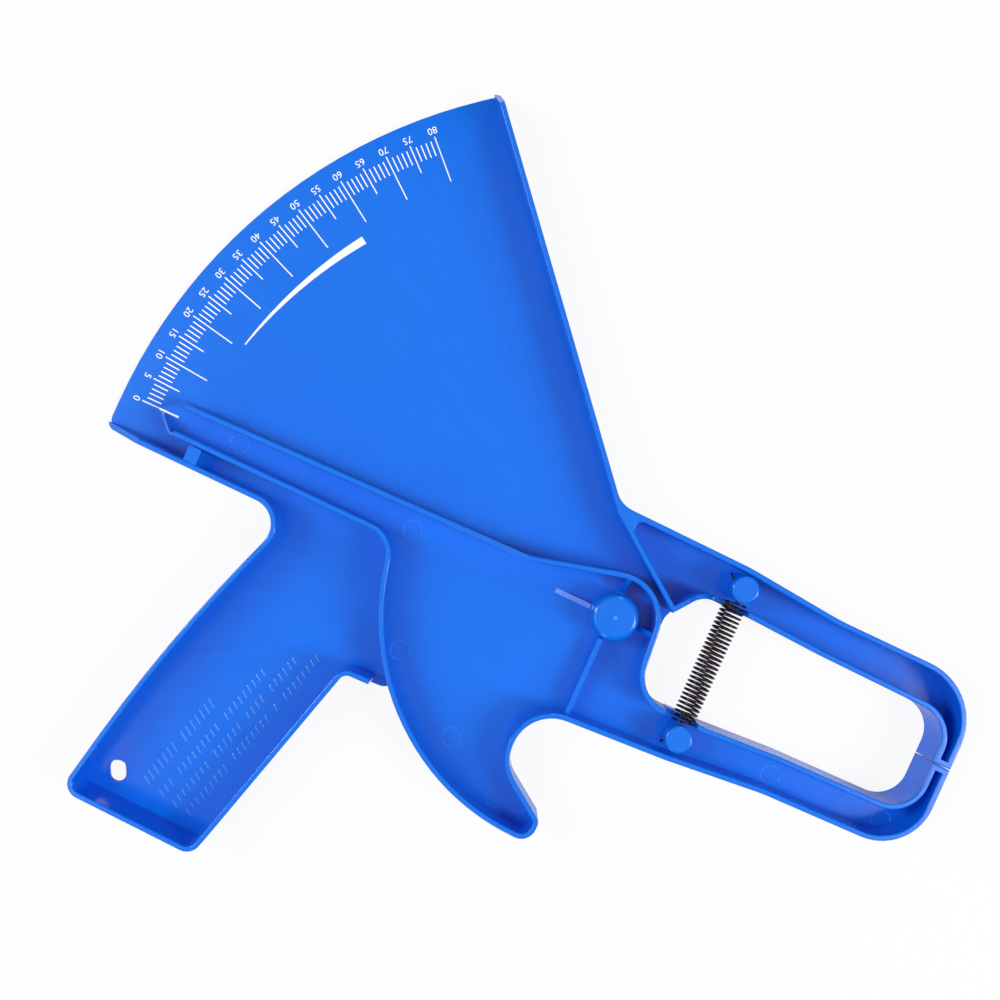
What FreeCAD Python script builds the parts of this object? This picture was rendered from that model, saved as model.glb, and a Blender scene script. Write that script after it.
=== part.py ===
"""Skinfold caliper: a sector plate with a pistol handle and a fixed jaw, and a lever that is
pointer, trigger and moving jaw in one.  An extension spring closes the jaws.

Millimetres.  The origin is on the pivot axis, in the plane of the flat back.  +X runs from the
pivot to the jaw pads, +Y to the scale, +Z out of the open side of the mouldings.  The outlines
are lists of corners (x, y, rounding radius), counter-clockwise, so the material is on the left.
"""
import FreeCAD, Part
import math
import os

import Sketcher
from FreeCAD import Placement, Rotation, Vector

SIZES = (
    # both mouldings
    ("rim_height", 16.0, "depth of the caliper, back plane to the top of the walls"),
    ("floor_thickness", 2.0, "floor of the frame"),
    ("web_thickness", 2.0, "web of the lever"),
    ("web_gap", 0.4, "between the frame's floor and the lever's web"),
    ("wall_thickness", 1.6, "all the rim walls"),
    ("rib_thickness", 1.5, "ribs inside the walls"),
    ("rim_rounding", 0.4, "rounding along the top of the walls"),
    # measuring
    ("jaw_reach", 104.05, "pivot to the middle of the pads"),
    ("pad_width", 5.4, "pads, along the jaw"),
    ("pad_thickness", 1.6, "end walls that touch the skin"),
    ("pad_gap", 0.3, "between the pads at rest"),
    ("reading_max", 80.0, "last mark of the scale"),
    ("plate_radius", 161.76, "arc edge of the sector, about the centre of the arcs"),
    ("arc_centre_x", 0.5, "centre of the sector's and the trigger's arcs, from the pivot"),
    ("arc_centre_y", 2.9, "the same centre, below the X axis"),
    # scale printing
    ("mark_margin", 7.3, "arc edge of the sector to the 1 mm marks"),
    ("mark_length", 4.6, "1 mm marks"),
    ("mark_length_five", 8.75, "5 mm marks"),
    ("mark_length_ten", 14.35, "10 mm marks"),
    ("mark_lead", 1.0, "how much further out the 5 and 10 mm marks start"),
    ("mark_width", 0.36, "width of a mark"),
    ("ink_thickness", 0.06, "printed ink"),
    ("wedge_gap", 3.1, "between the 10 mm marks and the printed wedge"),
    ("wedge_width", 2.5, "printed wedge, at its wide end"),
    ("wedge_tip", 0.4, "printed wedge, at its narrow end"),
    ("index_margin", 0.3, "tip of the pointer to the white line on it"),
    ("index_length", 6.2, "white line on the pointer"),
    ("index_width", 0.6, "white line on the pointer"),
    # frame
    ("sector_base", 11.6, "pivot to the outside of the sector's lower wall"),
    ("sector_side", 10.87, "pivot to the outside line of the sector's side wall"),
    ("side_angle", 40.6, "normal of the side wall from +X"),
    ("hub_rib", 15.33, "pivot to the rib that closes the jaw channel"),
    ("hub_rib_angle", 53.2, "normal of that rib from +X"),
    ("jaw_top", 30.25, "pivot to the outside line of the jaw's top wall, near the hub"),
    ("frame_hub_radius", 15.0, "round end of the frame under the lever"),
    ("wall_end_margin", 8.2, "arc edge of the sector to where the top of its side wall stops"),
    ("wall_end_run", 7.6, "length of that wall's slanted end"),
    ("lower_end_run", 14.0, "the same for the sector's lower wall, up to the arc edge"),
    ("lower_end_height", 4.4, "the lower wall at the arc edge"),
    ("hang_hole_radius", 3.3, "round mouth of the hanging hole"),
    ("hang_hole_width", 4.9, "through slot of the hanging hole"),
    ("stop_width", 4.0, "zero stop block"),
    ("stop_gap", 0.5, "between the stop block and the pointer"),
    # lever
    ("lever_hub_radius", 13.4, "wall around the pivot"),
    ("trigger_radius", 67.2, "round edge of the trigger, about the centre of the arcs"),
    ("pointer_half_width", 5.05, "pointer, at its tip end"),
    ("pointer_margin", 12.46, "arc edge of the sector to the tip of the pointer"),
    ("pointer_tip", 9.9, "bare tip past the ends of the pointer's walls"),
    ("upper_taper", 5.6, "slanted edge of the tip, above the white line"),
    ("lower_taper", 7.8, "slanted edge of the tip, below the white line"),
    ("loop_wall", 17.85, "pivot to the lever's wall of the jaw loop"),
    ("ejector_radius", 2.6, "ejector pin marks"),
    ("ejector_depth", 0.12, "ejector pin marks"),
    # pivot
    ("pivot_radius", 3.0, "shank of the pivot pin"),
    ("pivot_clearance", 0.05, "running fit of the lever on the shank"),
    ("pin_clearance", 0.02, "fit of the pins in the holes that hold them"),
    ("pivot_head_radius", 6.95, "head of the pivot pin"),
    ("pivot_head_rounding", 1.7, "edge of that head"),
    ("boss_radius", 7.2, "lever boss"),
    ("boss_height", 8.0, "top of all bosses above the back plane"),
    ("thrust_radius", 8.0, "raised ring that carries the lever"),
    ("running_gap", 0.1, "axial gap on each side of the lever boss"),
    ("cap_radius", 5.95, "cap pressed on the pin's end, flush with the back"),
    ("recess_radius", 6.0, "recess for the cap"),
    ("recess_depth", 1.0, "recess for the cap"),
    # spring and its pins
    ("upper_pin_x", 31.2, "spring pin in the frame"),
    ("upper_pin_y", 23.1, "spring pin in the frame"),
    ("lower_pin_x", 31.5, "spring pin in the lever"),
    ("lower_pin_y", 24.6, "spring pin in the lever, below the X axis"),
    ("pin_head_radius", 4.1, "spring pin head"),
    ("pin_head_thickness", 3.8, "spring pin head"),
    ("pin_head_rounding", 0.8, "edge of that head"),
    ("pin_radius", 1.9, "spring pin shank and neck"),
    ("pin_depth", 4.5, "shank in its boss"),
    ("coil_start", 4.65, "pin to the first turn of the spring, clear of the pin's head"),
    ("spring_level", 10.0, "spring axis above the back plane"),
    ("coil_radius", 2.82, "spring, to the middle of the wire"),
    ("wire_radius", 0.43, "spring wire"),
    ("coil_count", 28.5, "turns of the spring"),
    ("frame_notch_left", 17.6, "where the frame's loop wall begins to slope down to its notch"),
    ("frame_notch_run", 7.0, "length of that slope"),
    ("notch_left", 24.6, "spring notch in the lever's loop wall"),
    ("notch_right", 34.9, "spring notch in the two loop walls"),
    ("notch_floor", 6.4, "bottom of the spring notches"),
)

doc = FreeCAD.newDocument("skinfold_caliper")
sheet = doc.addObject("Spreadsheet::Sheet", "Sizes")
for row, (alias, value, meaning) in enumerate(SIZES, start=1):
    sheet.set(f"A{row}", alias)
    sheet.set(f"B{row}", str(value))
    sheet.set(f"C{row}", meaning)
    sheet.setAlias(f"B{row}", alias)
doc.recompute()


class Size:
    """Reads a driving dimension from the sheet by its name."""

    def __getattr__(self, alias):
        return float(sheet.get(alias))


size = Size()
web_level = size.floor_thickness + size.web_gap
web_top = web_level + size.web_thickness
pad_inner = size.jaw_reach - size.pad_width / 2
pad_outer = size.jaw_reach + size.pad_width / 2
arc_centre = size.arc_centre_x, -size.arc_centre_y
plate_left = size.arc_centre_x - size.plate_radius
pointer_reach = -plate_left - size.pointer_margin
pointer_rim_reach = pointer_reach - size.pointer_tip
mark_ring = size.plate_radius - size.mark_margin
OPEN = -4.0       # a pocket runs this far past an edge that has no wall


# ---------------------------------------------------------------- outlines

def unit(degrees):
    return math.cos(math.radians(degrees)), math.sin(math.radians(degrees))


def meet(angle_a, distance_a, angle_b, distance_b):
    """Point where two lines cross; a line is the angle of its normal and its distance from the pivot."""
    ax, ay = unit(angle_a)
    bx, by = unit(angle_b)
    cross = ax * by - ay * bx
    return (distance_a * by - ay * distance_b) / cross, (ax * distance_b - distance_a * bx) / cross


def along(angle, distance, x):
    """Point at x on the line with this normal and distance."""
    nx, ny = unit(angle)
    return x, (distance - nx * x) / ny


def between(a, b, x):
    """Corner at x on the straight line from corner a to corner b."""
    share = (x - a[0]) / (b[0] - a[0])
    return x, a[1] + share * (b[1] - a[1]), 0.0


def arc_corner(radius, start, end, centre=(0.0, 0.0)):
    """Corner whose rounding is the arc of this radius about the centre, from start to end degrees."""
    reach = radius / math.cos(math.radians((end - start) / 2))
    ux, uy = unit((start + end) / 2)
    return centre[0] + reach * ux, centre[1] + reach * uy, radius


def tangent(angle, radius, centre=arc_centre):
    """The line that touches a circle at this angle, as the angle of its normal and its distance."""
    ux, uy = unit(angle)
    return angle, radius + centre[0] * ux + centre[1] * uy


def inset(corners, distances):
    """The outline moved inwards, edge by edge; edge i runs from corner i to the next.

    Where a wall ends along a nearly straight run, the moved outline takes a step.
    """
    count = len(corners)
    moved = []
    for i in range(count):
        before, here, after = corners[i - 1], corners[i], corners[(i + 1) % count]
        ax, ay = here[0] - before[0], here[1] - before[1]
        bx, by = after[0] - here[0], after[1] - here[1]
        length_a, length_b = math.hypot(ax, ay), math.hypot(bx, by)
        ax, ay, bx, by = ax / length_a, ay / length_a, bx / length_b, by / length_b
        move_a, move_b = distances[i - 1], distances[i]
        turn = ax * by - ay * bx
        if move_a != move_b and abs(turn) < 0.2:
            moved.append((here[0] - ay * move_a, here[1] + ax * move_a, 0.0))
            moved.append((here[0] - by * move_b, here[1] + bx * move_b, 0.0))
            continue
        line_a = -ay * here[0] + ax * here[1] + move_a
        line_b = -by * here[0] + bx * here[1] + move_b
        x = (bx * line_a - ax * line_b) / turn
        y = (by * line_a - ay * line_b) / turn
        radius = 0.0
        if here[2] > 0 and (move_a == move_b or min(move_a, move_b) > 0):
            radius = max(0.0, here[2] - move_a if turn > 0 else here[2] + move_a)
        moved.append((x, y, radius))
    return moved


def draw(sketch, corners):
    """Adds the outline to a sketch, with straight edges as lines and roundings as arcs."""
    count = len(corners)
    starts, ends = [], []
    for i in range(count):
        before, here, after = (Vector(*corners[j % count][:2], 0) for j in (i - 1, i, i + 1))
        radius = corners[i][2]
        towards = (here - before).normalize()
        away = (after - here).normalize()
        turn = math.atan2(towards.cross(away).z, towards.dot(away))
        cut = radius * abs(math.tan(turn / 2))
        starts.append(here - towards * cut)
        ends.append(here + away * cut)
        if radius > 0:
            side = 1 if turn > 0 else -1
            centre = starts[i] + Vector(-towards.y, towards.x, 0) * radius * side
            first, last = (starts[i], ends[i]) if turn > 0 else (ends[i], starts[i])
            first_angle = math.atan2(first.y - centre.y, first.x - centre.x)
            last_angle = math.atan2(last.y - centre.y, last.x - centre.x)
            circle = Part.Circle(centre, Vector(0, 0, 1), radius)
            sketch.addGeometry(Part.ArcOfCircle(circle, first_angle, last_angle), False)
    for i in range(count):
        if ends[i].distanceToPoint(starts[(i + 1) % count]) > 1e-6:
            sketch.addGeometry(Part.LineSegment(ends[i], starts[(i + 1) % count]), False)


# ---------------------------------------------------------------- features

def new_sketch(body, name, level="0", role="XY_Plane"):
    plane = next(item for item in body.Origin.OriginFeatures if item.Role == role)
    sketch = body.newObject("Sketcher::SketchObject", name)
    sketch.AttachmentSupport = (plane, [""])
    sketch.MapMode = "FlatFace"
    sketch.setExpression("AttachmentOffset.Base.z", level)
    return sketch


def circle(sketch, x, y, radius_size, clearance_size=None):
    """A circle whose radius is bound to the sheet."""
    radius = getattr(size, radius_size)
    bound_to = f"Sizes.{radius_size}"
    if clearance_size:
        radius += getattr(size, clearance_size)
        bound_to += f" + Sizes.{clearance_size}"
    index = sketch.addGeometry(Part.Circle(Vector(x, y, 0), Vector(0, 0, 1), radius), False)
    constraint = sketch.addConstraint(Sketcher.Constraint("Radius", index, radius))
    sketch.setExpression(f"Constraints[{constraint}]", bound_to)


def pad(body, name, sketch, length, symmetric=False):
    feature = body.newObject("PartDesign::Pad", name)
    feature.Profile = sketch
    feature.setExpression("Length", length)
    if symmetric:
        feature.SideType = "Symmetric"
    return feature


def pocket(body, name, sketch, depth, upwards=False):
    """Cuts from the sketch's plane down to the depth, or up, and fails if nothing was cut."""
    doc.recompute()
    before = body.Shape.Volume
    feature = body.newObject("PartDesign::Pocket", name)
    feature.Profile = sketch
    feature.Reversed = upwards
    feature.setExpression("Length", depth)
    doc.recompute()
    if body.Shape.Volume >= before - 1e-6:
        raise RuntimeError(f"{name} cuts nothing")
    return feature


def polygon_pad(body, name, corners, level, length):
    sketch = new_sketch(body, f"{name}_outline", level)
    draw(sketch, corners)
    return pad(body, name, sketch, length)


def polygon_pocket(body, name, corners, level, depth):
    sketch = new_sketch(body, f"{name}_outline", level)
    draw(sketch, corners)
    return pocket(body, name, sketch, depth)


def round_rim(body, name):
    """Rounds the long edges at the top of the walls."""
    doc.recompute()
    walls = body.Tip
    top = size.rim_height
    names = []
    for index, edge in enumerate(walls.Shape.Edges, start=1):
        level = all(abs(vertex.Z - top) < 1e-4 for vertex in edge.Vertexes)
        if level and edge.Length > 2 * size.wall_thickness:
            names.append(f"Edge{index}")
    feature = body.newObject("PartDesign::Fillet", name)
    feature.Base = (walls, names)
    feature.setExpression("Radius", "Sizes.rim_rounding")
    return feature


RIB_SHIFT = {"YZ_Plane": "-0.7", "XZ_Plane": "0.3"}      # along the plane's normal, in mm


def side_rib(body, name, role, profile):
    """A rib beside the pivot axis; profile points are (distance along, height)."""
    sketch = new_sketch(body, f"{name}_outline", RIB_SHIFT[role], role)
    draw(sketch, [(x, z, 0.0) for x, z in profile])
    return pad(body, name, sketch, "Sizes.rib_thickness", symmetric=True)


# ---------------------------------------------------------------- frame

SIDE, RIB = size.side_angle, size.hub_rib_angle
SCALE_TOP = 128.0                    # direction of the sector's top corner
SIDE_END, SIDE_END_SWEEP = 120, 20   # where the end of the side wall is cut, and how far round
JAW_TOP = 88.4                       # normal of the jaw's top wall, near the hub
HUB_START, HUB_END = 275, 360        # the frame's round end under the lever
wall, rib = size.wall_thickness, size.rib_thickness
rib_end = along(RIB, size.hub_rib, 14.64)
rib_x, rib_y = unit(RIB)
rib_end_outer = rib_end[0] + rib * rib_x, rib_end[1] + rib * rib_y
jaw_shoulder = along(SIDE, size.sector_side, -11.95)
NOTCH_FRONT, NOTCH_BACK = 9.0, 18.8  # the frame's spring notch runs between these two y

# The sector, the handle and the round end under the lever, as one tray.
tray = [
    (plate_left, -size.sector_base + 0.3, 3.5),
    (-98.6, -size.sector_base - 0.65, 7.5),
    (-115.85, -60.5, 450.0),
    (-126.2, -112.15, 4.5),
    (-83.5, -113.85, 4.6),
    (-65.0, -47.4, 2.8),
    (-57.3, -47.3, 0.0),
    (-57.3, -48.6, 0.0),
    (-52.0, -48.4, 4.0),
    (*along(HUB_START, size.frame_hub_radius, -40.0), 18.0),
    arc_corner(size.frame_hub_radius, HUB_START, HUB_END),
    (size.frame_hub_radius, 6.0, 6.0),
    (*rib_end, 0.0),
    (*rib_end_outer, 0.0),
    (*meet(RIB, size.hub_rib + rib, SIDE, size.sector_side), 0.0),
    (*meet(SIDE, size.sector_side, *tangent(SCALE_TOP, size.plate_radius)), 2.5),
    arc_corner(size.plate_radius, SCALE_TOP, 180, arc_centre),
]
tray_walls = [wall, wall, wall, wall, wall, wall, 0.0,
              OPEN, OPEN, OPEN, OPEN, OPEN, OPEN,
              rib, wall, OPEN, OPEN]

# The fixed jaw, from the rib that closes its channel round the pads and back.
jaw = [
    (*rib_end, 0.0),
    (20.9, 16.45, 10.0),
    (38.0, 15.9, 20.0),
    (60.0, 14.6, 60.0),
    (pad_inner, 13.4, 9.5),
    (pad_inner, size.pad_gap / 2, 0.0),
    (pad_outer, size.pad_gap / 2, 0.0),
    (pad_outer, 25.7, 18.2),
    (60.0, 26.4, 60.0),
    (30.0, 29.5, 60.0),
]
jaw_walls = [wall, wall, wall, wall, wall, size.pad_thickness, wall, wall, wall, wall, rib]
side_x, side_y = unit(SIDE)
up_side = jaw_shoulder[0] - 14 * side_y, jaw_shoulder[1] + 14 * side_x
jaw_root = [
    (*jaw_shoulder, 8.0),
    (*up_side, 0.0),
    (up_side[0] - wall * side_x, up_side[1] - wall * side_y, 0.0),
    (*meet(RIB, size.hub_rib, SIDE, size.sector_side - wall), 0.0),
]
channel_corner = meet(RIB, size.hub_rib, JAW_TOP, size.jaw_top)


# A patch of floor outside the jaw's wall, where it meets the round end.
hub_side = size.frame_hub_radius
floor_patch = [(hub_side - 1, 2.0, 0.0), (hub_side, 2.0, 0.0), (hub_side + 0.1, 5.6, 4.0),
               between(jaw[0], jaw[1], 17.6), (*rib_end, 0.0)]


def build_frame():
    body = doc.addObject("PartDesign::Body", "frame_body")
    polygon_pad(body, "sector_and_handle", tray, "0", "Sizes.rim_height")
    polygon_pad(body, "fixed_jaw", jaw + jaw_root, "0", "Sizes.rim_height")
    floor_depth = "Sizes.rim_height - Sizes.floor_thickness"
    polygon_pocket(body, "sector_floor", inset(tray, tray_walls), "Sizes.rim_height", floor_depth)
    channel = inset(jaw + [(*channel_corner, 4.0)], jaw_walls)
    polygon_pocket(body, "jaw_channel", channel, "Sizes.rim_height", floor_depth)
    polygon_pad(body, "hub_floor", floor_patch, "0", "Sizes.floor_thickness")

    # slanted ends of the sector's walls; the side wall's is turned about the centre of the arcs
    top, low = size.rim_height, size.floor_thickness
    lower_end = plate_left + size.lower_end_run
    inside_wall = "Sizes.sector_base - 3 * Sizes.wall_thickness"
    end = new_sketch(body, "lower_wall_end_outline", inside_wall, "XZ_Plane")
    draw(end, [(plate_left - 1, top + 1, 0.0),
               (plate_left - 1, size.lower_end_height, 0.0),
               (plate_left, size.lower_end_height, 0.0),
               (lower_end, top, 0.0),
               (lower_end, top + 1, 0.0)])
    pocket(body, "lower_wall_end", end, "6 * Sizes.wall_thickness", upwards=True)
    slant = new_sketch(body, "wall_end_outline", "0", "XZ_Plane")
    slant.AttachmentOffset = Placement(Vector(size.arc_centre_x, 0, size.arc_centre_y),
                                       Rotation(Vector(0, 1, 0), SIDE_END))
    wall_end_radius = size.plate_radius - size.wall_end_margin
    outside = size.plate_radius + 6
    draw(slant, [(wall_end_radius, top + 1, 0.0),
                 (wall_end_radius, top, 0.0),
                 (wall_end_radius + size.wall_end_run, low, 0.0),
                 (outside, low, 0.0),
                 (outside, top + 1, 0.0)])
    doc.recompute()
    before = body.Shape.Volume
    groove = body.newObject("PartDesign::Groove", "wall_ends")
    groove.Profile = slant
    groove.ReferenceAxis = (slant, ["V_Axis"])
    groove.Angle = SIDE_END_SWEEP
    doc.recompute()
    if body.Shape.Volume >= before - 1:
        raise RuntimeError("wall_ends cuts nothing")
    round_rim(body, "rim_edges")

    # boss of the upper spring pin, ring under the lever, zero stop
    boss = new_sketch(body, "spring_boss_outline", "Sizes.floor_thickness / 2")
    circle(boss, size.upper_pin_x, size.upper_pin_y, "pin_head_radius")
    pad(body, "spring_boss", boss, "Sizes.boss_height - Sizes.floor_thickness / 2")
    ring = new_sketch(body, "thrust_outline", "Sizes.floor_thickness / 2")
    circle(ring, 0, 0, "thrust_radius")
    pad(body, "thrust_ring", ring, "Sizes.floor_thickness / 2 + Sizes.web_gap - Sizes.running_gap")
    stop_top = -size.pointer_half_width - size.stop_gap
    stop_left = -pointer_rim_reach + 5.6
    stop_bottom = -size.sector_base + wall / 2
    polygon_pad(body, "zero_stop", [(stop_left, stop_bottom, 0.0),
                                    (stop_left + size.stop_width, stop_bottom, 0.0),
                                    (stop_left + size.stop_width, stop_top, 0.5),
                                    (stop_left, stop_top, 0.5)],
                "Sizes.floor_thickness / 2", "Sizes.rim_height - Sizes.floor_thickness / 2 - 0.3")

    # holes
    bore = new_sketch(body, "pivot_bore_outline", "Sizes.rim_height")
    circle(bore, 0, 0, "pivot_radius", "pin_clearance")
    pocket(body, "pivot_bore", bore, "Sizes.rim_height + 1")
    recess = new_sketch(body, "cap_recess_outline")
    circle(recess, 0, 0, "recess_radius")
    pocket(body, "cap_recess", recess, "Sizes.recess_depth", upwards=True)
    pin = new_sketch(body, "spring_pin_outline", "Sizes.boss_height")
    circle(pin, size.upper_pin_x, size.upper_pin_y, "pin_radius", "pin_clearance")
    pocket(body, "spring_pin_bore", pin, "Sizes.pin_depth")
    slope_end = size.frame_notch_left + size.frame_notch_run
    notch = new_sketch(body, "spring_notch_outline", f"-{NOTCH_FRONT}", "XZ_Plane")
    draw(notch, [(size.frame_notch_left, top + 1, 0.0),
                 (size.frame_notch_left, top, 0.0),
                 (slope_end, size.notch_floor, 3.0),
                 (size.notch_right, size.notch_floor, 0.0),
                 (size.notch_right, top + 1, 0.0)])
    pocket(body, "spring_notch", notch, str(NOTCH_BACK - NOTCH_FRONT))
    hanging_hole(body)
    return body


HANG_HOLE = (-115.7, -104.6)
HANG_ANGLE = 118.0


def hanging_hole(body):
    """A round mouth that narrows to a slot through the floor."""
    x, y = HANG_HOLE
    mouth = new_sketch(body, "hang_mouth_outline", "Sizes.floor_thickness")
    circle(mouth, x, y, "hang_hole_radius")
    pocket(body, "hang_mouth", mouth, "Sizes.floor_thickness / 2")
    slot = new_sketch(body, "hang_slot_outline", "Sizes.floor_thickness")
    radius = size.hang_hole_width / 2
    reach = size.hang_hole_radius
    corners = [(-radius, -reach), (radius, -reach), (radius, reach), (-radius, reach)]
    ux, uy = unit(HANG_ANGLE - 90)
    draw(slot, [(x + px * ux - py * uy, y + px * uy + py * ux, radius) for px, py in corners])
    pocket(body, "hang_slot", slot, "Sizes.floor_thickness + 1")


# ---------------------------------------------------------------- lever

EDGE_START, TRIGGER_START, TRIGGER_END = 193.4, 239.4, 268.5     # directions on the trigger's edge
HUB_WALL_START, HUB_WALL_END = 5, 104.3
POINTER_SLOPE, LOOP_SLOPE = 0.55, 1.0        # of two nearly level walls, in degrees
half = size.pointer_half_width
horn = size.trigger_radius                   # the trigger's corners go with its radius
notch_top = -0.503 * horn                    # top of the notch for the fingertip
edge_radius = 1.071 * horn                   # flatter first stretch of the trigger's edge
start_x, start_y = unit(TRIGGER_START)
edge_centre = (arc_centre[0] + (horn - edge_radius) * start_x,
               arc_centre[1] + (horn - edge_radius) * start_y)
lever_walls_outline = [
    (-pointer_rim_reach, -half, 0.0),
    (*meet(*tangent(EDGE_START, edge_radius, edge_centre), 270 + POINTER_SLOPE, half + 0.3), 8.0),
    arc_corner(edge_radius, EDGE_START, TRIGGER_START, edge_centre),
    arc_corner(horn, TRIGGER_START, TRIGGER_END, arc_centre),
    (*along(*tangent(TRIGGER_END, horn), 4.45), 0.068 * horn),
    (4.5, -0.938 * horn, 0.036 * horn),
    (-11.7, -0.771 * horn, 0.18 * horn),
    (-11.75, notch_top, 0.178 * horn),
    (30.0, -31.6, 60.0),
    (60.0, -28.8, 60.0),
    (pad_outer, -28.0, 16.0),
    (pad_outer, -size.pad_gap / 2, 0.0),
    (pad_inner, -size.pad_gap / 2, 0.0),
    (pad_inner, -16.5, 9.5),
    (61.0, -16.9, 60.0),
    (38.0, -18.2, 20.0),
    (*meet(HUB_WALL_START, size.lever_hub_radius, 270 - LOOP_SLOPE, size.loop_wall), 10.0),
    arc_corner(size.lever_hub_radius, HUB_WALL_START, HUB_WALL_END),
    (*along(HUB_WALL_END, size.lever_hub_radius, -30.2), 12.0),
    (-pointer_rim_reach, half, 0.0),
]
lever_walls = [wall] * 11 + [size.pad_thickness] + [wall] * 7 + [OPEN]
lever_web_outline = [(-pointer_reach, 0.0, 0.4),
                     (-pointer_reach + size.lower_taper, -half, 1.0),
                     *lever_walls_outline,
                     (-pointer_reach + size.upper_taper, half, 0.8)]
SKIRT_START = 26.0
LONG_RIB_TOP = 10.8
TIP_WALL, LINE_CLEARANCE = 0.8, 0.15
skirt = [between(lever_walls_outline[7], lever_walls_outline[8], SKIRT_START),
         *lever_walls_outline[8:16],
         between(lever_walls_outline[15], lever_walls_outline[16], SKIRT_START)]
skirt_walls = [wall, wall, wall, wall, size.pad_thickness, wall, wall, wall, wall, wall]
EJECTOR_MARKS = ((-122.4, 0.4), (-64.7, -1.7), (-53.3, -36.1), (-28.7, -53.2), (-9.1, -64.4),
                 (62.9, -24.1), (98.6, -22.5))


def build_lever():
    body = doc.addObject("PartDesign::Body", "lever")
    web = "Sizes.floor_thickness + Sizes.web_gap"
    above_web = f"Sizes.rim_height - {web.replace(' + ', ' - ')}"
    polygon_pad(body, "web", lever_web_outline, web, "Sizes.web_thickness")
    polygon_pad(body, "rim", lever_walls_outline, web, above_web)
    polygon_pocket(body, "hollow", inset(lever_walls_outline, lever_walls), "Sizes.rim_height",
                   f"{above_web} - Sizes.web_thickness")
    round_rim(body, "rim_edges")

    # the lower wall goes on along the tip's slanted edge, beside the white line, down to the web
    tip, tip_shoulder = lever_web_outline[0][:2], lever_web_outline[1][:2]
    run, drop = tip_shoulder[0] - tip[0], tip[1] - tip_shoulder[1]
    slope = math.hypot(run, drop)
    inward_x, inward_y = drop / slope * TIP_WALL, run / slope * TIP_WALL
    line_side = -size.index_width / 2 - LINE_CLEARANCE
    start = tip[0] - line_side * run / drop
    wall_end = -pointer_rim_reach + wall / 2
    polygon_pad(body, "tip_wall", [(start, line_side, 0.0),
                                   (*tip_shoulder, 0.0),
                                   (wall_end, -half, 0.0),
                                   (wall_end, -half + TIP_WALL, 0.0),
                                   (tip_shoulder[0] + inward_x, tip_shoulder[1] + inward_y, 0.0),
                                   (start + TIP_WALL * slope / drop, line_side, 0.0)],
                f"{web} + Sizes.web_thickness / 2",
                f"{above_web} - Sizes.web_thickness / 2 - Sizes.rim_rounding")
    high, foot = size.rim_height + 1, web_top + 0.2
    slant = new_sketch(body, "tip_slope_outline", "2 * Sizes.pointer_half_width", "XZ_Plane")
    draw(slant, [(tip[0] - 1, high, 0.0),
                 (tip[0] - 1, foot, 0.0),
                 (tip[0], foot, 0.0),
                 (-pointer_rim_reach, size.rim_height - size.rim_rounding, 0.0),
                 (-pointer_rim_reach, high, 0.0)])
    pocket(body, "tip_slope", slant, "4 * Sizes.pointer_half_width")

    # the moving jaw reaches down to the back plane, as deep as the fixed one
    sketch = new_sketch(body, "skirt_outline")
    draw(sketch, skirt)
    draw(sketch, inset(skirt, skirt_walls))
    pad(body, "jaw_skirt", sketch, f"{web} + Sizes.web_thickness / 2")

    # bosses
    inside_web = f"{web} + Sizes.web_thickness / 2"
    boss_length = f"Sizes.boss_height - Sizes.floor_thickness - Sizes.web_gap - Sizes.web_thickness / 2"
    boss = new_sketch(body, "pivot_boss_outline", inside_web)
    circle(boss, 0, 0, "boss_radius")
    pad(body, "pivot_boss", boss, boss_length)
    spring_boss = new_sketch(body, "spring_boss_outline", inside_web)
    circle(spring_boss, size.lower_pin_x, -size.lower_pin_y, "pin_head_radius")
    pad(body, "spring_boss", spring_boss, boss_length)

    # ribs from the boss to the walls
    top, low, shoulder = size.rim_height - size.rim_rounding, web_top - 0.5, size.boss_height
    inside, edge = size.pivot_radius + 1.5, size.boss_radius
    hub_inner = size.lever_hub_radius - wall / 2
    side_rib(body, "upper_rib", "YZ_Plane",
             [(inside, low), (hub_inner, low), (hub_inner, top), (hub_inner - wall / 2, top),
              (edge, shoulder), (inside, shoulder)])
    side_rib(body, "right_rib", "XZ_Plane",
             [(inside, low), (hub_inner, low), (hub_inner, top), (hub_inner - wall / 2, top),
              (edge, shoulder), (inside, shoulder)])
    lower_end = notch_top + wall / 2
    side_rib(body, "long_rib", "YZ_Plane",
             [(-inside, low), (-inside, shoulder), (-edge, shoulder), (-edge - 0.4, LONG_RIB_TOP),
              (lower_end, LONG_RIB_TOP), (lower_end, low)])
    side_rib(body, "left_gusset", "XZ_Plane",
             [(-inside, low), (-inside, shoulder), (-edge, shoulder), (-18.4, web_top), (-18.4, low)])

    # holes, the spring notch and the ejector pin marks
    bore = new_sketch(body, "pivot_bore_outline", "Sizes.rim_height")
    circle(bore, 0, 0, "pivot_radius", "pivot_clearance")
    pocket(body, "pivot_bore", bore, "Sizes.rim_height + 1")
    pin = new_sketch(body, "spring_pin_outline", "Sizes.boss_height")
    circle(pin, size.lower_pin_x, -size.lower_pin_y, "pin_radius", "pin_clearance")
    pocket(body, "spring_pin_bore", pin, "Sizes.pin_depth")
    notch = [(size.notch_left, -20.3, 0.0), (size.notch_right, -20.3, 0.0),
             (size.notch_right, -16.0, 0.0), (size.notch_left, -16.0, 0.0)]
    polygon_pocket(body, "spring_notch", notch, "Sizes.rim_height",
                   "Sizes.rim_height - Sizes.notch_floor")
    marks = new_sketch(body, "ejector_marks_outline", f"{web} + Sizes.web_thickness")
    for x, y in EJECTOR_MARKS:
        circle(marks, x, y, "ejector_radius")
    pocket(body, "ejector_marks", marks, "Sizes.ejector_depth")
    return body


# ---------------------------------------------------------------- turned pieces

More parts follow.
